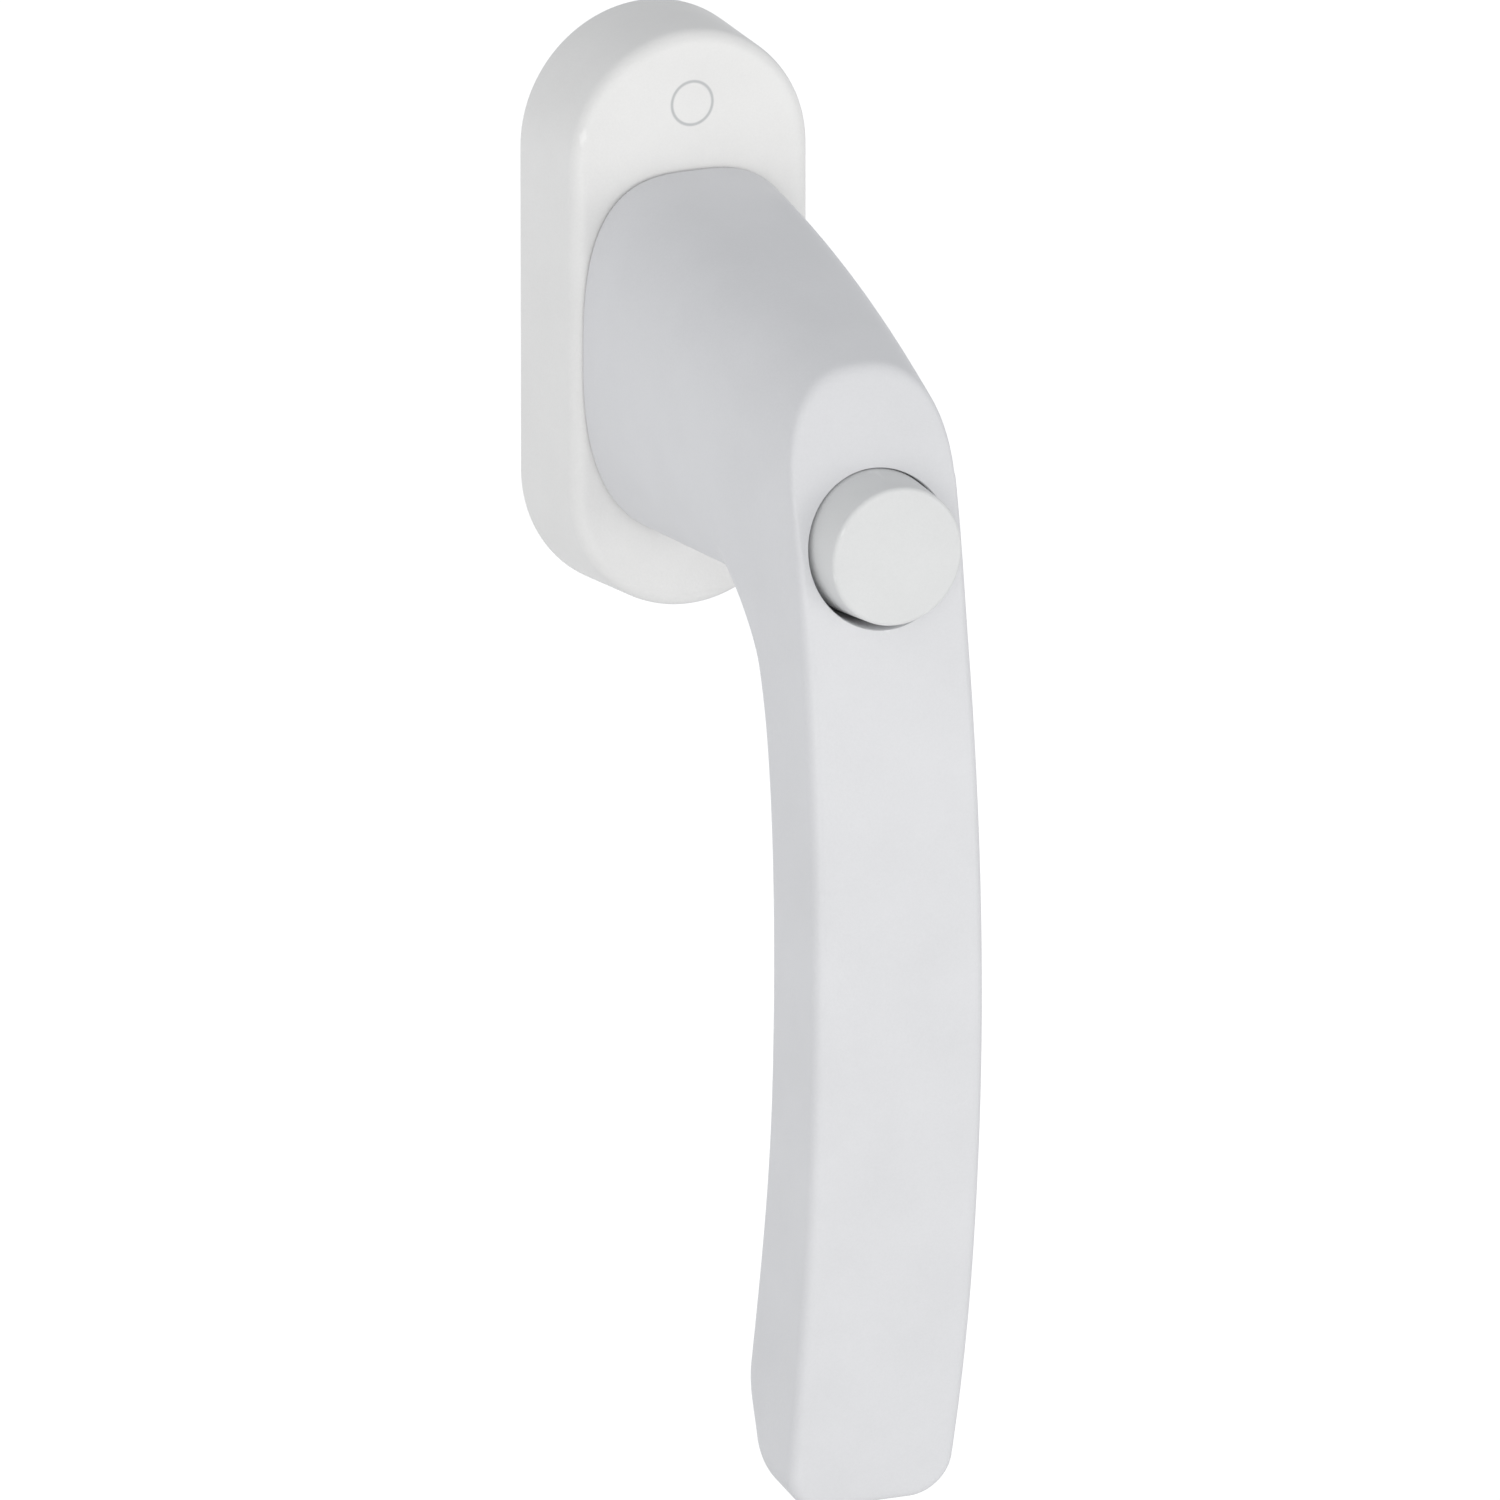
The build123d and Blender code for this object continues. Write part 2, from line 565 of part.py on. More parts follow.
# Plunger clip: open steel washer in the rod groove
with BuildPart() as plunger_clip:
    with BuildSketch(room_plane(CLIP_BACK + 0.02)):
        with Locations((0, -PIN_ORBIT)):
            Circle(ROD_CHANNEL_R - 0.15)
            Circle(ROD_R - 0.38, mode=Mode.SUBTRACT)
        with Locations((0, -PIN_ORBIT + 2.0)):
            Rectangle(2.0, 4.0, mode=Mode.SUBTRACT)
    extrude(amount=CLIP_THICKNESS - 0.04)
plunger_clip.part.label = "plunger_clip"
export_step(plunger_clip.part, "parts/plunger_clip.step")

# Lock pin: stepped steel pin whose collar stops the button at rest
with BuildPart() as lock_pin:
    with BuildSketch(Plane.XY.offset(-PIN_ORBIT)):
        with BuildLine():
            Polyline(
                (0, -PIN_TIP),
                (LOCK_PIN_R - 0.3, -PIN_TIP),
                (LOCK_PIN_R, -PIN_TIP - 0.3),
                (LOCK_PIN_R, COLLAR_LENGTH + 0.05 - SHOULDER_BACK),
                (COLLAR_R, COLLAR_LENGTH + 0.05 - SHOULDER_BACK),
                (COLLAR_R, 0.05 - SHOULDER_BACK),
                (LOCK_PIN_R, 0.05 - SHOULDER_BACK),
                (LOCK_PIN_R, -ROD_END + 0.05),
                (1.0, -ROD_END + 0.05),
                (1.0, -ROD_END - 4.0),
                (0, -ROD_END - 4.0),
                close=True,
            )
        make_face()
    revolve(axis=Axis((0, 0, -PIN_ORBIT), (0, 1, 0)))
lock_pin.part.label = "lock_pin"
export_step(lock_pin.part, "parts/lock_pin.step")
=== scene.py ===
"""Looks of the push-button window handle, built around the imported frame.

Lengths inside the mesh functions are millimetres: x to the right, d into the
room and z up. They become metres, with Y = -d, when a mesh is made.
"""

import json
import math

import bmesh
import bpy
import numpy as np
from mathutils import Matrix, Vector


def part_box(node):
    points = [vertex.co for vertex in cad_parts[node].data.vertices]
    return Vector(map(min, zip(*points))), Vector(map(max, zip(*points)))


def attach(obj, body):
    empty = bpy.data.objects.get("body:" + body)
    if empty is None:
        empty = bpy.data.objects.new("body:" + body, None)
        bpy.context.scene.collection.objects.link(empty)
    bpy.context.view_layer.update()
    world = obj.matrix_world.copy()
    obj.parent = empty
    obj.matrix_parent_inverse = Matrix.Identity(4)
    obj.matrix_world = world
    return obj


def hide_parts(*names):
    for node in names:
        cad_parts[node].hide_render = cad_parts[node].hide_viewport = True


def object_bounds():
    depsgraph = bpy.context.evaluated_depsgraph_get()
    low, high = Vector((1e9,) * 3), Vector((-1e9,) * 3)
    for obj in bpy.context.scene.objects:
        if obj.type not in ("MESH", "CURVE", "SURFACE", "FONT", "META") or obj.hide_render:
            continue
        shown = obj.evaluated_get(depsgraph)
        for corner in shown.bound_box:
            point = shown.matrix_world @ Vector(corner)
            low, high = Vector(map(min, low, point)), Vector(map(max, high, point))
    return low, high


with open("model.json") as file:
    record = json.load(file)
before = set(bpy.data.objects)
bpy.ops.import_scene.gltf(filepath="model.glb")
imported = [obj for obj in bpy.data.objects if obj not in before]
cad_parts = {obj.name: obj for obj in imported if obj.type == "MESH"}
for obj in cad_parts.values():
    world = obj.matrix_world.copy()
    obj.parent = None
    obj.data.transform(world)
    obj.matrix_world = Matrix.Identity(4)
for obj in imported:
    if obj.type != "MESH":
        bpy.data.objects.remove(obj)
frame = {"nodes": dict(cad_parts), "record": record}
CAD_BOX = [list(corner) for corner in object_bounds()]

MM = 0.001
TINY = 1e-9


def box_mm(node):
    """Low and high corner of a CAD node as (x, d, z) in millimetres."""
    low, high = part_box(node)
    near = np.array([low[0], -high[1], low[2]]) / MM
    far = np.array([high[0], -low[1], high[2]]) / MM
    return near, far


COVER_HIGH = box_mm("rosette_cover")[1]
LEVER_LOW, LEVER_HIGH = box_mm("lever")
BUTTON_LOW, BUTTON_HIGH = box_mm("push_button")

# Rosette cover
ROSETTE_HALF_WIDTH = COVER_HIGH[0]
ROSETTE_END_OFFSET = COVER_HIGH[2] - ROSETTE_HALF_WIDTH
ROSETTE_DEPTH = COVER_HIGH[1]
ROSETTE_DRAFT = 0.74
COVER_EDGE_R = 1.7
COVER_EDGE_OUT = 0.08
COVER_BACK_BEVEL = 0.25
COVER_BACK_BEVEL_DEPTH = 0.22
COVER_BACK_INSET = 0.02
COVER_WALL = 1.5
COVER_FRONT = 1.4
COVER_HOLE_R = 12.2
COVER_HOLE_BEVEL = 0.12

# Lever. The neck is an oval that changes from its base to its head, and the swell bends
# that change. Its powers make the upper and the lower half squarer or rounder.
NECK_BACK = 13.1
NECK_FRONT = 59.3
NECK_BASE = {"half_width": 13.5, "top": 17.25, "bottom": -24.0, "power": 3.0, "low_power": 2.4}
NECK_HEAD = {"half_width": 9.96, "top": 4.5, "bottom": -22.3, "power": 2.44, "low_power": 2.36}
NECK_SWELL = {"half_width": -0.39, "top": -0.42, "bottom": 0.0, "power": -0.9, "low_power": -0.9}
NECK_LEAST_POWER = 1.8
NECK_BACK_EDGE_R = 0.35
GRIP_TOP = -6.5
GRIP_TOP_EDGE_R = 1.0
GRIP_END = LEVER_LOW[2]
GRIP_HALF_WIDTH_TOP = 9.98
GRIP_HALF_WIDTH_END = 10.3
GRIP_WIDENING = 1.6
GRIP_END_TAPER = 0.46
GRIP_TAPER_START = 0.75
GRIP_END_TILT = 0.19
GRIP_APEX = -62.9
GRIP_FRONT = LEVER_HIGH[1]
GRIP_THICKNESS = 13.14
GRIP_ROOT_SWELL = 3.5
ROOT_SWELL_Z = -23.0
ROOT_SWELL_FADE = 6.95
GRIP_TAIL_SWELL = 1.37
TAIL_SWELL_Z = -75.0
TAIL_SWELL_SPAN = 45.0
GRIP_ARC_R = 228.6
FRONT_LEAN_MOST = 150.0
GRIP_CORNER_R = 4.67
GRIP_FRONT_EDGE_R = 1.3
HEAD_FRONT_EDGE_R = 0.6
HEAD_LOW_Z = -26.0
HEAD_EDGE_SPAN = 18.0
HEAD_WIDTH_SPAN = 9.0
GRIP_BACK_EDGE_R = 2.95
GRIP_END_BACK_R = 8.5
END_BACK_HEIGHT = 15.0
END_BACK_SPAN = 12.0
NECK_BLEND_R = 9.8
SIDE_BLEND_R = 0.15
BOSS_R = 11.8
BOSS_BACK = 11.8
JOURNAL_R = 6.4
JOURNAL_END = 0.3
JOURNAL_BEVEL = 0.25
JOURNAL_MIDDLES = (3.0, 6.5)
SOCKET_HALF = 3.53
SOCKET_DEPTH = 6.0

# Push button
BUTTON_Z = (BUTTON_LOW[2] + BUTTON_HIGH[2]) / 2
BUTTON_R = BUTTON_HIGH[0]
BUTTON_FACE_R = 7.82
BUTTON_FACE = BUTTON_HIGH[1]
BUTTON_BACK = BUTTON_LOW[1]
BUTTON_STEP = 58.9
BUTTON_EDGE_R = 0.5
BUTTON_BEVEL = 0.15
SKIRT_R = 7.6
SKIRT_WALL = 1.4
HOLLOW_DEPTH = 5.0
STUD_SOCKET_R = 2.42
STUD_SOCKET_DEPTH = 4.0
STUD_BOSS_R = 3.8
WELL_Z = -13.85
WELL_R = 8.6
WELL_FLOOR = 51.05
WELL_LIP = 0.12
WELL_LIP_CURVE = ((0.0, -0.3), (0.05, -0.14), (0.09, -0.05), (WELL_LIP, 0.02))
WELL_CUT_ABOVE = 3.0

# Mesh fineness
COVER_COLUMNS = 240
AROUND = 176
WELL_COLUMNS = 144
BUTTON_COLUMNS = 128
NECK_EDGE_STEPS = (0.004, 0.03, 0.08, 0.16, 0.27, 0.4, 0.65)
NECK_RINGS_START = 1.1
NECK_RINGS = 34
TURN_RINGS = 130
GRIP_RINGS = 91
CAP_RINGS = 45
FINE_RAYS = 720
RAY_STEPS = 60
RAY_HALVINGS = 26
RAY_REACH = 60.0
SPAN_REACH = 80.0
SPAN_STEPS = 1600
BEND_WEIGHT = 1.6
BEND_MOST = 0.4

# Centres of the lever's cross-sections
TURN_DEPTH = 40.0
TURN_Z = -30.0
NECK_MIDDLE_Z = -2.5
NECK_LEVEL_DEPTH = 20.0
NECK_FALL = 0.2
CAP_HEIGHT = 10.0
CAP_LAST_ANGLE = 88.5


# ---------------------------------------------------------------- mesh tools


def make_object(name, points, faces, body, replaces=()):
    """Object from (x, d, z) points in millimetres that rides on a body."""
    points = np.asarray(points, float)
    placed = np.column_stack([points[:, 0], -points[:, 1], points[:, 2]]) * MM
    mesh = bpy.data.meshes.new(name)
    mesh.from_pydata(placed.tolist(), [], faces)
    mesh.validate()
    obj = bpy.data.objects.new(name, mesh)
    bpy.context.scene.collection.objects.link(obj)
    bm = bmesh.new()
    bm.from_mesh(mesh)
    bmesh.ops.recalc_face_normals(bm, faces=bm.faces)
    bm.to_mesh(mesh)
    bm.free()
    if body:
        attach(obj, body)
    if replaces:
        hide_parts(*replaces)
    return obj


def shade_smooth(obj, angle):
    """Smooth shading with sharp edges above an angle in degrees."""
    obj.data.shade_smooth()
    obj.data.set_sharp_from_angle(angle=math.radians(angle))


def grid_faces(rows, columns):
    """Quads between consecutive closed rings of equal length."""
    faces = []
    for row in range(rows - 1):
        for column in range(columns):
            a = row * columns + column
            b = row * columns + (column + 1) % columns
            faces.append((a, b, b + columns, a + columns))
    return faces


def cone_faces(first, count, pole):
    """Triangles from a closed ring of points to one point."""
    return [(first + i, first + (i + 1) % count, pole) for i in range(count)]


def mixed_ring(a, b, share):
    """Points part of the way from one ring to another."""
    return [tuple(np.array(p) * (1 - share) + np.array(q) * share) for p, q in zip(a, b)]


def arc_profile(centre, radius, first, last, count):
    """Points (r, d) along an arc, angles in degrees from the +r axis."""
    angles = np.radians(np.linspace(first, last, count))
    return [(centre[0] + radius * math.cos(a), centre[1] + radius * math.sin(a)) for a in angles]


# ------------------------------------------------------------- rosette cover


def stadium_ring(half_width, depth):
    """Points of a slot outline at a depth, evenly spread along its length."""
    straight = 2 * ROSETTE_END_OFFSET
    arc = math.pi * ROSETTE_HALF_WIDTH
    total = 2 * (straight + arc)
    ring = []
    for step in range(COVER_COLUMNS):
        run = step / COVER_COLUMNS * total
        if run < straight:
            centre, angle = ROSETTE_END_OFFSET - run, math.pi
        elif run < straight + arc:
            centre, angle = -ROSETTE_END_OFFSET, math.pi + (run - straight) / ROSETTE_HALF_WIDTH
        elif run < 2 * straight + arc:
            centre, angle = run - straight - arc - ROSETTE_END_OFFSET, 0.0
        else:
            centre, angle = ROSETTE_END_OFFSET, (run - 2 * straight - arc) / ROSETTE_HALF_WIDTH
        ring.append((half_width * math.cos(angle), depth, centre + half_width * math.sin(angle)))
    return ring


def circle_ring(like, radius, depth):
    """Circle points in the same directions from the origin as a given ring."""
    ring = []
    for x, _, z in like:
        angle = math.atan2(z, x)
        ring.append((radius * math.cos(angle), depth, radius * math.sin(angle)))
    return ring


def build_cover():
    """Drafted shell with a soft front edge and the round hole for the neck."""
    front = ROSETTE_DEPTH
    edge_in = ROSETTE_HALF_WIDTH - ROSETTE_DRAFT
    profile = [(ROSETTE_HALF_WIDTH - COVER_BACK_BEVEL, 0.0)]
    profile.append((ROSETTE_HALF_WIDTH - COVER_BACK_INSET, COVER_BACK_BEVEL_DEPTH))
    for share in np.linspace(0.08, 1.0, 7):
        depth = share * (front - COVER_EDGE_R)
        profile.append((ROSETTE_HALF_WIDTH - ROSETTE_DRAFT * depth / front, depth))
    flat = edge_in + COVER_EDGE_OUT - COVER_EDGE_R
    profile += arc_profile((flat, front - COVER_EDGE_R), COVER_EDGE_R, 6, 90, 12)
    rings = [stadium_ring(r, d) for r, d in profile]
    outline = stadium_ring(flat, front)
    hole = circle_ring(outline, COVER_HOLE_R, front)
    for share in (0.1, 0.3, 0.55, 0.8, 0.96):
        rings.append(mixed_ring(outline, hole, share))
    inner_hole = circle_ring(outline, COVER_HOLE_R, front - COVER_FRONT)
    rings.append(circle_ring(outline, COVER_HOLE_R, front - COVER_HOLE_BEVEL))
    rings.append(inner_hole)
    inner_front = stadium_ring(edge_in - COVER_WALL, front - COVER_FRONT)
    for share in (0.3, 0.7, 1.0):
        rings.append(mixed_ring(inner_hole, inner_front, share))
    rings.append(stadium_ring(ROSETTE_HALF_WIDTH - COVER_WALL, 0.0))
    points = [p for ring in rings for p in ring]
    faces = grid_faces(len(rings), COVER_COLUMNS)
    last = (len(rings) - 1) * COVER_COLUMNS
    for i in range(COVER_COLUMNS):
        beside = (i + 1) % COVER_COLUMNS
        faces.append((last + i, last + beside, beside, i))
    cover = make_object("cover_shell", points, faces, "rosette", ["rosette_cover"])
    shade_smooth(cover, 35)
    return cover


# --------------------------------------------------------------------- lever


def rounded_and(a, b, radius):
    """Intersection of two distance fields with a rounded edge."""
    corner = np.hypot(np.maximum(a + radius, 0), np.maximum(b + radius, 0))
    return np.minimum(np.maximum(a, b), -radius) + corner


def rounded_or(a, b, radius):
    """Union of two distance fields with a hollow blend."""
    corner = np.hypot(np.maximum(radius - a, 0), np.maximum(radius - b, 0))
    return np.maximum(np.minimum(a, b), radius) - corner


def smooth_step(value):
    """Cubic step from 0 to 1."""
    value = np.clip(value, 0, 1)
    return value * value * (3 - 2 * value)


def arc_reach(d, z):
    """Distance from the axis of the bowed grip surfaces."""
    return np.hypot(d - (GRIP_FRONT - GRIP_ARC_R), z - GRIP_APEX)


def front_depth(z):
    """Depth of the bowed front face at a height, held level far beyond the grip."""
    lean = np.clip(z - GRIP_APEX, -FRONT_LEAN_MOST, FRONT_LEAN_MOST)
    return GRIP_FRONT - GRIP_ARC_R + np.sqrt(GRIP_ARC_R**2 - lean**2)


def neck_field(x, d, z):
    """Distance to the oval neck, how far it faces sideways and its half width."""
    share = (d - NECK_BACK) / (NECK_FRONT - NECK_BACK)
    size = {}
    for key, base in NECK_BASE.items():
        bent = share + NECK_SWELL[key] * share * (1 - share)
        size[key] = base + bent * (NECK_HEAD[key] - base)
    centre = (size["top"] + size["bottom"]) / 2
    half_height = (size["top"] - size["bottom"]) / 2
    power = np.maximum(np.where(z < centre, size["low_power"], size["power"]), NECK_LEAST_POWER)
    u = np.abs(x) / size["half_width"] + TINY
    v = np.abs(z - centre) / half_height + TINY
    reach = (u**power + v**power) ** (1 / power)
    slope_x = (u / reach) ** (power - 1) / size["half_width"]
    slope_z = (v / reach) ** (power - 1) / half_height
    slope = np.hypot(slope_x, slope_z)
    return (reach - 1) / slope, slope_x / slope, size["half_width"]


def lever_field(x, d, z):
    """Signed distance-like field of the lever, negative inside."""
    run = (GRIP_TOP - z) / (GRIP_TOP - GRIP_END)
    widening = (GRIP_HALF_WIDTH_END - GRIP_HALF_WIDTH_TOP) * smooth_step(run * GRIP_WIDENING)
    half_width = GRIP_HALF_WIDTH_TOP + widening
    half_width -= GRIP_END_TAPER * np.clip((run - GRIP_TAPER_START) / (1 - GRIP_TAPER_START), 0, 2) ** 2
    end = GRIP_END + GRIP_END_TILT * (front_depth(z) - d)
    outline = rounded_and(np.abs(x) - half_width, end - z, GRIP_CORNER_R)
    outline = rounded_and(outline, z - GRIP_TOP, GRIP_TOP_EDGE_R)
    reach = arc_reach(d, z)
    low = smooth_step((GRIP_END + END_BACK_HEIGHT - z) / END_BACK_SPAN)
    back_r = GRIP_BACK_EDGE_R + (GRIP_END_BACK_R - GRIP_BACK_EDGE_R) * low
    swell = GRIP_ROOT_SWELL * np.exp(np.clip((z - ROOT_SWELL_Z) / ROOT_SWELL_FADE, -8, 0.8))
    tail = GRIP_TAIL_SWELL * smooth_step((TAIL_SWELL_Z - z) / TAIL_SWELL_SPAN)
    thickness = GRIP_THICKNESS + swell + tail
    bar = rounded_and(outline, GRIP_ARC_R - thickness - reach, back_r)
    neck, sideways, neck_width = neck_field(x, d, z)
    blend = SIDE_BLEND_R + (NECK_BLEND_R - SIDE_BLEND_R) * (1 - sideways**4)
    whole = rounded_or(bar, neck, blend)
    wider = np.maximum(neck_width - half_width, 0) * smooth_step((z - HEAD_LOW_Z) / HEAD_WIDTH_SPAN)
    whole = np.maximum(whole, np.abs(x) - (half_width + wider))
    head = smooth_step((z - HEAD_LOW_Z) / HEAD_EDGE_SPAN)
    edge_r = GRIP_FRONT_EDGE_R + (HEAD_FRONT_EDGE_R - GRIP_FRONT_EDGE_R) * head
    whole = rounded_and(whole, reach - GRIP_ARC_R, edge_r)
    return rounded_and(whole, NECK_BACK - d, NECK_BACK_EDGE_R)


def cast_rays(origins, directions):
    """Distance along each ray at which it leaves the lever."""
    low = np.zeros(len(directions))
    high = np.full(len(directions), RAY_REACH)
    steps = np.linspace(0, RAY_REACH, RAY_STEPS)[1:]
    found = np.zeros(len(directions), bool)
    for step in steps:
        outside = lever_field(*(origins + directions * step).T) > 0
        newly = outside & ~found
        high[newly] = step
        low[~found & ~outside] = step
        found |= outside
    for _ in range(RAY_HALVINGS):
        middle = (low + high) / 2
        inside = lever_field(*(origins + directions * middle[:, None]).T) < 0
        low = np.where(inside, middle, low)
        high = np.where(inside, high, middle)
    return (low + high) / 2


def section_ring(centre, up):
    """Ring of surface points in the plane of x and up, closer together where it bends."""
    angles = np.linspace(0, 2 * math.pi, FINE_RAYS, endpoint=False)
    side = np.array([1.0, 0.0, 0.0])
    directions = np.cos(angles)[:, None] * up + np.sin(angles)[:, None] * side
    reach = cast_rays(np.tile(centre, (FINE_RAYS, 1)), directions)
    loop = centre + directions * reach[:, None]
    steps = np.roll(loop, -1, 0) - loop
    lengths = np.linalg.norm(steps, axis=1)
    tangents = steps / lengths[:, None]
    bend = np.linalg.norm(tangents - np.roll(tangents, 1, 0), axis=1)
    bend = (np.roll(bend, -1) + 2 * bend + np.roll(bend, 1)) / 4
    weights = lengths + BEND_WEIGHT * np.minimum(bend, BEND_MOST)
    run = np.concatenate([[0], np.cumsum(weights)])
    wanted = np.arange(AROUND) / AROUND * run[-1]
    at = np.interp(wanted, run, np.arange(FINE_RAYS + 1)) * 2 * math.pi / FINE_RAYS
    directions = np.cos(at)[:, None] * up + np.sin(at)[:, None] * side
    reach = cast_rays(np.tile(centre, (AROUND, 1)), directions)
    return centre + directions * reach[:, None]


def span_on_ray(origin, direction):
    """Where a ray from outside enters and leaves the lever."""
    steps = np.linspace(0, SPAN_REACH, SPAN_STEPS)
    inside = lever_field(*(origin + direction * steps[:, None]).T) < 0
    hits = steps[inside]
    return hits[0], hits[-1]


def lever_rings():
    """Rings of surface points from the rosette side to the end of the grip."""
    pivot = np.array([0.0, TURN_DEPTH, TURN_Z])
    rings = []
    upright = np.array([0.0, 0.0, 1.0])
    near_edge = NECK_BACK + np.array(NECK_EDGE_STEPS)
    along_neck = np.linspace(NECK_BACK + NECK_RINGS_START, TURN_DEPTH, NECK_RINGS)
    for d in np.concatenate([near_edge, along_neck]):
        middle = NECK_MIDDLE_Z
        if d >= NECK_LEVEL_DEPTH:
            middle = NECK_MIDDLE_Z - (d - NECK_LEVEL_DEPTH) * NECK_FALL
        rings.append(section_ring(np.array([0.0, d, middle]), upright))
    for angle in np.radians(np.linspace(0, 90, TURN_RINGS + 1))[1:]:
        up = np.array([0.0, math.sin(angle), math.cos(angle)])
        enter, leave = span_on_ray(pivot, up)
        rings.append(section_ring(pivot + up * (enter + leave) / 2, up))
    outward = np.array([0.0, 1.0, 0.0])
    last_height = GRIP_END + CAP_HEIGHT
    for z in np.linspace(TURN_Z, last_height, GRIP_RINGS + 1)[1:]:
        middle = front_depth(z) - GRIP_THICKNESS / 2
        rings.append(section_ring(np.array([0.0, middle, z]), outward))
    centre = np.array([0.0, front_depth(last_height) - GRIP_THICKNESS / 2, last_height])
    spokes = rings[-1] - centre
    spokes /= np.linalg.norm(spokes, axis=1)[:, None]
    down = np.array([0.0, 0.0, -1.0])
    for angle in np.radians(np.linspace(0, CAP_LAST_ANGLE, CAP_RINGS + 1))[1:]:
        directions = math.cos(angle) * spokes + math.sin(angle) * down
        reach = cast_rays(np.tile(centre, (AROUND, 1)), directions)
        rings.append(centre + directions * reach[:, None])
    tip = centre + down * cast_rays(centre[None, :], down[None, :])[0]
    return rings, tip


def square_ring(like, half, depth):
    """Square outline points in the same directions as a given ring."""
    ring = []
    for x, _, z in like:
        scale = half / max(abs(x), abs(z))
        ring.append((x * scale, depth, z * scale))
    return np.array(ring)


def turned_rings(base):
    """Rings of the spindle socket, the journal and the boss behind the neck."""
    rings = [square_ring(base, SOCKET_HALF, SOCKET_DEPTH), square_ring(base, SOCKET_HALF, JOURNAL_END)]
    turned = [(JOURNAL_R - JOURNAL_BEVEL, JOURNAL_END), (JOURNAL_R, JOURNAL_END + JOURNAL_BEVEL)]
    turned += [(JOURNAL_R, depth) for depth in JOURNAL_MIDDLES]
    turned += [(JOURNAL_R, BOSS_BACK), (BOSS_R, BOSS_BACK), (BOSS_R, NECK_BACK)]
    for radius, depth in turned:
        rings.append(np.array(circle_ring(base, radius, depth)))
    return rings


def build_well_cutter():
    """Round plug that follows the bowed front, with a soft lip, to cut the well."""
    profile = [(WELL_R, None)]
    profile += [(WELL_R + out, above) for out, above in WELL_LIP_CURVE]
    profile.append((WELL_R + WELL_LIP, WELL_CUT_ABOVE))
    points = []
    for radius, above in profile:
        for step in range(WELL_COLUMNS):
            angle = 2 * math.pi * step / WELL_COLUMNS
            x, z = radius * math.cos(angle), WELL_Z + radius * math.sin(angle)
            depth = WELL_FLOOR if above is None else front_depth(z) + above
            points.append((x, depth, z))
    faces = grid_faces(len(profile), WELL_COLUMNS)
    faces.append(tuple(range(WELL_COLUMNS)))
    faces.append(tuple(range((len(profile) - 1) * WELL_COLUMNS, len(profile) * WELL_COLUMNS)))
    return make_object("well_cutter", points, faces, None)


def build_lever():
    """Lever casting with its boss, journal and the well for the button."""
    rings, tip = lever_rings()
    rings = turned_rings(rings[0]) + rings
    points = np.concatenate(rings + [tip[None, :]])
    faces = grid_faces(len(rings), AROUND)
    faces.append(tuple(range(AROUND)))
    faces += cone_faces((len(rings) - 1) * AROUND, AROUND, len(points) - 1)
    lever = make_object("lever_body", points, faces, None)
    cutter = build_well_cutter()
    cut = lever.modifiers.new("well", "BOOLEAN")
    cut.operation = "DIFFERENCE"
    cut.solver = "EXACT"
    cut.object = cutter
    graph = bpy.context.evaluated_depsgraph_get()
    finished = bpy.data.meshes.new_from_object(lever.evaluated_get(graph))
    lever.modifiers.clear()
    lever.data = finished
    bpy.data.objects.remove(cutter)
    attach(lever, "handle")
    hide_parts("lever")
    shade_smooth(lever, 40)
    return lever


# -------------------------------------------------------------------- button


def build_button():
    """Stepped push-button cap, hollow behind."""
    flat = BUTTON_FACE_R - BUTTON_EDGE_R
    hollow = BUTTON_BACK + HOLLOW_DEPTH
    profile = [(STUD_SOCKET_R, BUTTON_BACK + STUD_SOCKET_DEPTH), (STUD_SOCKET_R, BUTTON_BACK)]
    profile += [(STUD_BOSS_R, BUTTON_BACK), (STUD_BOSS_R, hollow)]
    profile += [(SKIRT_R - SKIRT_WALL, hollow), (SKIRT_R - SKIRT_WALL, BUTTON_BACK)]
    profile += [(SKIRT_R - BUTTON_BEVEL, BUTTON_BACK), (SKIRT_R, BUTTON_BACK + BUTTON_BEVEL)]
    profile += [(SKIRT_R, BUTTON_STEP), (BUTTON_R - BUTTON_BEVEL, BUTTON_STEP)]
    profile.append((BUTTON_R, BUTTON_STEP + BUTTON_BEVEL))
    for share in (0.35, 0.7, 1.0):
        depth = BUTTON_STEP + BUTTON_BEVEL
        depth += share * (BUTTON_FACE - BUTTON_EDGE_R - BUTTON_STEP - BUTTON_BEVEL)
        profile.append((BUTTON_R + share * (BUTTON_FACE_R - BUTTON_R), depth))
    profile += arc_profile((flat, BUTTON_FACE - BUTTON_EDGE_R), BUTTON_EDGE_R, 9, 90, 10)
    profile += [(flat * share, BUTTON_FACE) for share in (0.9, 0.65, 0.35, 0.1)]
    points = []
    for radius, depth in profile:
        for step in range(BUTTON_COLUMNS):
            angle = 2 * math.pi * step / BUTTON_COLUMNS
            points.append((radius * math.cos(angle), depth, BUTTON_Z + radius * math.sin(angle)))
    faces = grid_faces(len(profile), BUTTON_COLUMNS)
    faces.append(tuple(range(BUTTON_COLUMNS)))
    points.append((0.0, BUTTON_FACE, BUTTON_Z))
    faces += cone_faces((len(profile) - 1) * BUTTON_COLUMNS, BUTTON_COLUMNS, len(points) - 1)
    button = make_object("button_cap", points, faces, "button", ["push_button"])
    shade_smooth(button, 35)
    return button


# ----------------------------------------------------------------- materials

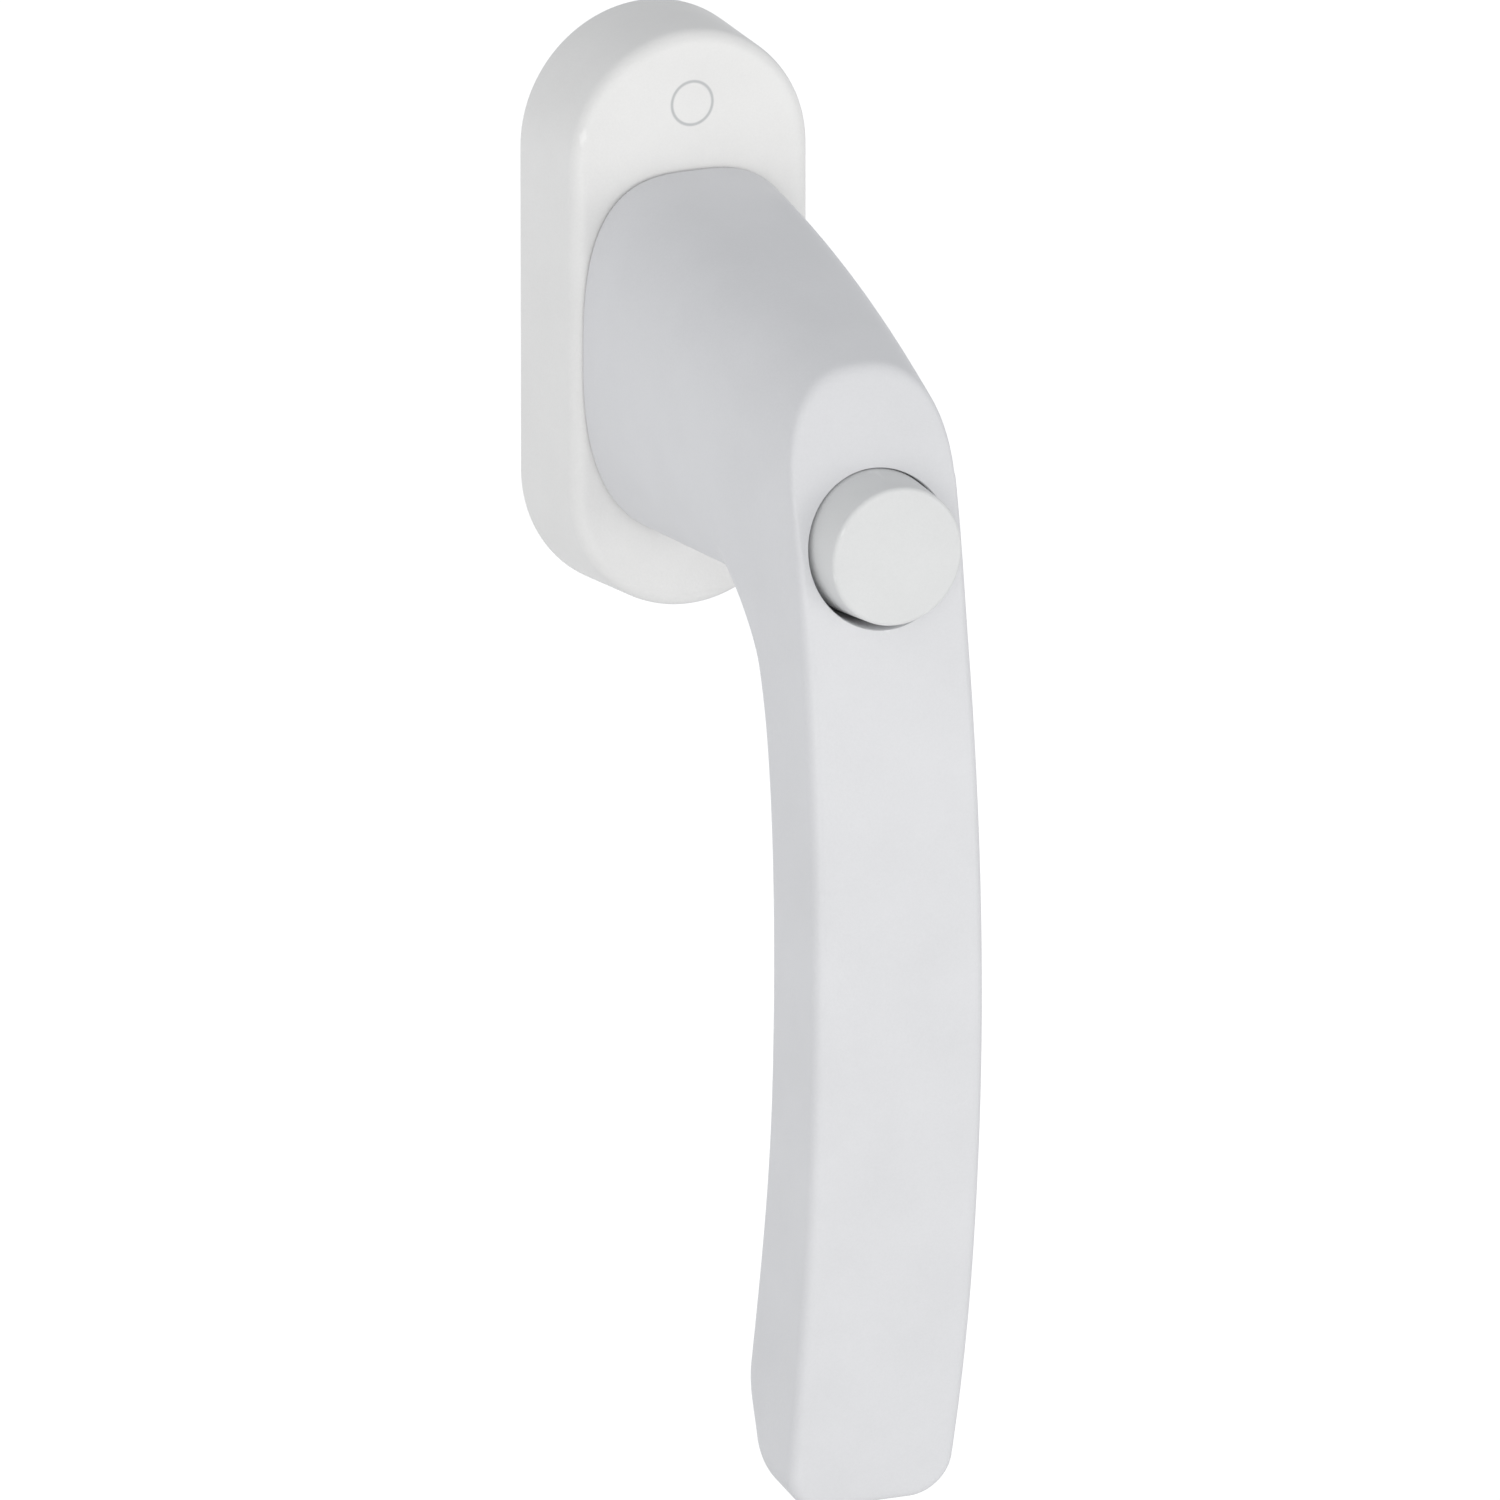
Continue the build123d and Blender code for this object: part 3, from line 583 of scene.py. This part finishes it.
# Powder coat: noise scales per metre, and the painted highlight that makes its sharp edges paler
CLOUD_SCALE = 90.0
GRAIN_SCALE = 3600.0
GRAIN_SHARE = 0.6
PEEL_SCALE = 1800.0
EDGE_HIGHLIGHT_GAIN = 1.1
EDGE_HIGHLIGHT_MOST = 0.9
EDGE_HIGHLIGHT_STRENGTH = 0.8
EDGE_HIGHLIGHT_POINTINESS = (0.53, 0.62)

# Printed ring on the rosette cover: radius, half width with its soft edges and height
# above the spindle in millimetres, and its colour
MARK_R = 2.45
MARK_LINE = 0.24
MARK_Z = 24.7
MARK_GREY = (0.52, 0.53, 0.54)

BLACK = (0.0, 0.0, 0.0)
WHITE = (1.0, 1.0, 1.0)


def new_material(name, colour, roughness, metallic=0.0):
    """Material, its node tree and its Principled shader."""
    material = bpy.data.materials.new(name)
    material.use_nodes = True
    tree = material.node_tree
    shader = tree.nodes["Principled BSDF"]
    shader.inputs["Base Color"].default_value = (*colour, 1.0)
    shader.inputs["Roughness"].default_value = roughness
    shader.inputs["Metallic"].default_value = metallic
    return material, tree, shader


def noise(tree, scale, detail, rough=0.55):
    """Noise texture in object coordinates."""
    coords = tree.nodes.new("ShaderNodeTexCoord")
    texture = tree.nodes.new("ShaderNodeTexNoise")
    texture.inputs["Scale"].default_value = scale
    texture.inputs["Detail"].default_value = detail
    texture.inputs["Roughness"].default_value = rough
    tree.links.new(coords.outputs["Object"], texture.inputs["Vector"])
    return texture


def ramp(tree, source, stops):
    """Colour ramp over a value output; stops are (position, colour)."""
    node = tree.nodes.new("ShaderNodeValToRGB")
    elements = node.color_ramp.elements
    while len(elements) < len(stops):
        elements.new(0.5)
    for element, (position, colour) in zip(elements, stops):
        element.position = position
        element.color = (*colour, 1.0)
    tree.links.new(source, node.inputs["Fac"])
    return node


def spread(tree, source, low, high, first=0.0, last=1.0):
    """Map Range from first..last to low..high."""
    node = tree.nodes.new("ShaderNodeMapRange")
    node.inputs["From Min"].default_value = first
    node.inputs["From Max"].default_value = last
    node.inputs["To Min"].default_value = low
    node.inputs["To Max"].default_value = high
    tree.links.new(source, node.inputs["Value"])
    return node


def bump(tree, shader, height, strength, distance):
    """Bump from a height output into the shader's normal; distance in metres."""
    node = tree.nodes.new("ShaderNodeBump")
    node.inputs["Strength"].default_value = strength
    node.inputs["Distance"].default_value = distance
    tree.links.new(height, node.inputs["Height"])
    tree.links.new(node.outputs["Normal"], shader.inputs["Normal"])


def powder_coat(name, colour, roughness):
    """White powder coat: grain, orange peel, faint clouding and a painted highlight that makes sharp
    edges paler.
    """
    material, tree, shader = new_material(name, colour, roughness)
    cloud = noise(tree, CLOUD_SCALE, 4.0)
    grain = noise(tree, GRAIN_SCALE, 2.0)
    blend = tree.nodes.new("ShaderNodeMath")
    blend.operation = "MULTIPLY_ADD"
    blend.inputs[1].default_value = GRAIN_SHARE
    tree.links.new(grain.outputs["Fac"], blend.inputs[0])
    tree.links.new(cloud.outputs["Fac"], blend.inputs[2])
    dark = tuple(c * 0.97 for c in colour)
    light = tuple(min(1.0, c * 1.02) for c in colour)
    tint = ramp(tree, blend.outputs["Value"], [(0.5, dark), (1.0, light)])
    # Painted highlight: sharp convex edges, found by pointiness, get a paler colour.
    edge_highlight = tree.nodes.new("ShaderNodeMix")
    edge_highlight.data_type = "RGBA"
    edge_highlight.inputs["B"].default_value = (*(min(EDGE_HIGHLIGHT_MOST, c * EDGE_HIGHLIGHT_GAIN) for c in colour), 1.0)
    shape = tree.nodes.new("ShaderNodeNewGeometry")
    edge = spread(tree, shape.outputs["Pointiness"], 0.0, EDGE_HIGHLIGHT_STRENGTH, *EDGE_HIGHLIGHT_POINTINESS)
    tree.links.new(edge.outputs["Result"], edge_highlight.inputs["Factor"])
    tree.links.new(tint.outputs["Color"], edge_highlight.inputs["A"])
    tree.links.new(edge_highlight.outputs["Result"], shader.inputs["Base Color"])
    rough = spread(tree, grain.outputs["Fac"], roughness - 0.05, roughness + 0.06, 0.3, 0.7)
    tree.links.new(rough.outputs["Result"], shader.inputs["Roughness"])
    peel = noise(tree, PEEL_SCALE, 3.0, 0.6)
    bump(tree, shader, peel.outputs["Fac"], 0.3, 0.00008)
    shader.inputs["Specular IOR Level"].default_value = 0.45
    return material


def marked_coat(name, colour, roughness):
    """Powder coat with a plain printed ring on the front of the cover."""
    material = powder_coat(name, colour, roughness)
    tree = material.node_tree
    shader = tree.nodes["Principled BSDF"]
    coat = shader.inputs["Base Color"].links[0].from_socket
    coords = tree.nodes.new("ShaderNodeTexCoord")
    place = tree.nodes.new("ShaderNodeVectorMath")
    place.operation = "SUBTRACT"
    place.inputs[1].default_value = (0.0, -ROSETTE_DEPTH * MM, MARK_Z * MM)
    tree.links.new(coords.outputs["Object"], place.inputs[0])
    reach = tree.nodes.new("ShaderNodeVectorMath")
    reach.operation = "LENGTH"
    tree.links.new(place.outputs["Vector"], reach.inputs[0])
    stops = [(0.0, BLACK), (0.35, WHITE), (0.65, WHITE), (1.0, BLACK)]
    inner, outer = (MARK_R - MARK_LINE) * MM, (MARK_R + MARK_LINE) * MM
    band = spread(tree, reach.outputs["Value"], 0.0, 1.0, inner, outer)
    line = ramp(tree, band.outputs["Result"], stops)
    mix = tree.nodes.new("ShaderNodeMix")
    mix.data_type = "RGBA"
    mix.inputs["B"].default_value = (*MARK_GREY, 1.0)
    tree.links.new(line.outputs["Color"], mix.inputs["Factor"])
    tree.links.new(coat, mix.inputs["A"])
    tree.links.new(mix.outputs["Result"], shader.inputs["Base Color"])
    return material


def metal(name, colour, roughness, fine_scale=900.0, broad_scale=60.0, strength=0.08):
    """Metal with fine drawn or cast texture and uneven sheen."""
    material, tree, shader = new_material(name, colour, roughness, 1.0)
    fine = noise(tree, fine_scale, 3.0)
    broad = noise(tree, broad_scale, 3.0)
    dark = tuple(c * 0.86 for c in colour)
    tint = ramp(tree, broad.outputs["Fac"], [(0.3, dark), (0.7, colour)])
    tree.links.new(tint.outputs["Color"], shader.inputs["Base Color"])
    rough = spread(tree, fine.outputs["Fac"], roughness - 0.08, roughness + 0.1, 0.3, 0.7)
    tree.links.new(rough.outputs["Result"], shader.inputs["Roughness"])
    bump(tree, shader, fine.outputs["Fac"], strength, 0.0001)
    return material


def plastic(name, colour, roughness):
    """Moulded plastic with fine spark texture."""
    material, tree, shader = new_material(name, colour, roughness)
    fine = noise(tree, 1800.0, 2.0)
    dark = tuple(c * 0.94 for c in colour)
    tint = ramp(tree, fine.outputs["Fac"], [(0.35, dark), (0.65, colour)])
    tree.links.new(tint.outputs["Color"], shader.inputs["Base Color"])
    rough = spread(tree, fine.outputs["Fac"], roughness - 0.05, roughness + 0.08, 0.3, 0.7)
    tree.links.new(rough.outputs["Result"], shader.inputs["Roughness"])
    bump(tree, shader, fine.outputs["Fac"], 0.1, 0.0001)
    return material


COVER_WHITE = (0.817, 0.816, 0.812)
LEVER_WHITE = (0.712, 0.717, 0.738)
CAP_WHITE = (0.71, 0.718, 0.722)
MATERIALS = {
    "white_powder_coat": powder_coat("white_powder_coat", LEVER_WHITE, 0.42),
    "cover_coat": marked_coat("cover_coat", COVER_WHITE, 0.42),
    "white_cap": powder_coat("white_cap", CAP_WHITE, 0.45),
    "zinc": metal("zinc", (0.52, 0.53, 0.55), 0.5, 700.0, 45.0, 0.15),
    "zinc_steel": metal("zinc_steel", (0.66, 0.66, 0.63), 0.32),
    "steel": metal("steel", (0.48, 0.48, 0.49), 0.35),
    "spring_steel": metal("spring_steel", (0.33, 0.33, 0.34), 0.35),
    "bronze": metal("bronze", (0.60, 0.42, 0.22), 0.45),
    "pom_natural": plastic("pom_natural", (0.80, 0.80, 0.76), 0.45),
    "pom_grey": plastic("pom_grey", (0.10, 0.105, 0.11), 0.5),
}


def assign(obj, material):
    """Give an object its one material."""
    obj.data.materials.clear()
    obj.data.materials.append(material)


def finish_cad_nodes(replaced):
    """Give the CAD nodes that stay their materials."""
    for entry in frame["record"]["subparts"]:
        if entry["node"] in replaced:
            continue
        for slot in frame["nodes"][entry["node"]].material_slots:
            slot.material = MATERIALS[entry["material_slot"]]


assign(build_cover(), MATERIALS["cover_coat"])
assign(build_lever(), MATERIALS["white_powder_coat"])
assign(build_button(), MATERIALS["white_cap"])
finish_cad_nodes({"rosette_cover", "lever", "push_button"})

# --------------------------------------------------------------------- stage

# Metres. The floor's glow rises between two distances behind the rosette.
FLOOR_DROP = 0.30
FLOOR_HALF_SIZE = 40.0
FLOOR_GREY = (0.86, 0.86, 0.86)
FLOOR_GLOW = (0.10, 0.56)
FLOOR_GLOW_Y = (0.45, 0.85)
SKY_COLOUR = (0.972, 0.984, 1.0)
SKY_STRENGTH = 0.60
LAMP_COLOUR = (1.0, 0.985, 0.955)
LAMP_AIM = (0.0, 0.0, -0.05)
LAMPS = {
    "front_box": {"place": (-0.65, -1.55, 0.12), "size": 1.2, "power": 7.4},
    "right_box": {"place": (0.9, -1.4, -0.02), "size": 0.9, "power": 5.0},
    "left_box": {"place": (-1.5, -0.3, -0.1), "size": 2.0, "power": 2.5},
}


def build_floor():
    """Wide pale floor well below the handle, glowing more behind it."""
    mesh = bpy.data.meshes.new("floor")
    size = FLOOR_HALF_SIZE
    level = CAD_BOX[0][2] - FLOOR_DROP
    corners = [(-size, -size, level), (size, -size, level), (size, size, level), (-size, size, level)]
    mesh.from_pydata(corners, [], [(0, 1, 2, 3)])
    floor = bpy.data.objects.new("floor", mesh)
    bpy.context.scene.collection.objects.link(floor)
    material, tree, shader = new_material("floor", FLOOR_GREY, 0.9)
    shader.inputs["Emission Color"].default_value = (*WHITE, 1.0)
    coords = tree.nodes.new("ShaderNodeTexCoord")
    split = tree.nodes.new("ShaderNodeSeparateXYZ")
    tree.links.new(coords.outputs["Object"], split.inputs["Vector"])
    glow = spread(tree, split.outputs["Y"], *FLOOR_GLOW, *FLOOR_GLOW_Y)
    tree.links.new(glow.outputs["Result"], shader.inputs["Emission Strength"])
    mesh.materials.append(material)


def build_world():
    """Even, slightly cool light from all sides."""
    world = bpy.data.worlds.new("studio")
    world.use_nodes = True
    background = world.node_tree.nodes["Background"]
    background.inputs["Color"].default_value = (*SKY_COLOUR, 1.0)
    background.inputs["Strength"].default_value = SKY_STRENGTH
    bpy.context.scene.world = world


def area_light(name, place, size, power):
    """Square soft box aimed at the handle; size in metres, power in watts."""
    data = bpy.data.lights.new(name, "AREA")
    data.shape = "SQUARE"
    data.size = size
    data.energy = power
    data.color = LAMP_COLOUR
    lamp = bpy.data.objects.new(name, data)
    bpy.context.scene.collection.objects.link(lamp)
    lamp.location = place
    lamp.visible_camera = False
    lamp.rotation_mode = "QUATERNION"
    lamp.rotation_quaternion = (Vector(LAMP_AIM) - Vector(place)).to_track_quat("-Z", "Y")


build_floor()
build_world()
for lamp_name, lamp in LAMPS.items():
    area_light(lamp_name, **lamp)
bpy.context.scene.view_settings.view_transform = "Standard"

# -------------------------------------------------------------------- camera

# Far end of the view, in metres
CLIP_END = 200.0

# Angles in degrees and lengths in millimetres. FRAME_WIDTH is what the picture spans
# at the handle. The spindle lies inside it by the two distances that follow.
AZIMUTH = -25.0
ELEVATION = 16.0
LENS = 900.0
SENSOR = 36.0
FRAME_WIDTH = 165.6
SPINDLE_FROM_LEFT = 71.04
SPINDLE_FROM_TOP = 32.23


def build_camera():
    """Long-lens camera from the left and a little above."""
    data = bpy.data.cameras.new("camera")
    data.lens = LENS
    data.sensor_width = SENSOR
    data.clip_end = CLIP_END
    camera = bpy.data.objects.new("camera", data)
    bpy.context.scene.collection.objects.link(camera)
    a, e = math.radians(AZIMUTH), math.radians(ELEVATION)
    back = Vector((math.sin(a) * math.cos(e), -math.cos(a) * math.cos(e), math.sin(e)))
    right = Vector((math.cos(a), math.sin(a), 0.0))
    up = back.cross(right)
    aim = right * (FRAME_WIDTH / 2 - SPINDLE_FROM_LEFT) - up * (FRAME_WIDTH / 2 - SPINDLE_FROM_TOP)
    camera.location = (aim + back * FRAME_WIDTH * LENS / SENSOR) * MM
    camera.rotation_mode = "QUATERNION"
    camera.rotation_quaternion = back.to_track_quat("Z", "Y")
    bpy.context.scene.camera = camera


build_camera()
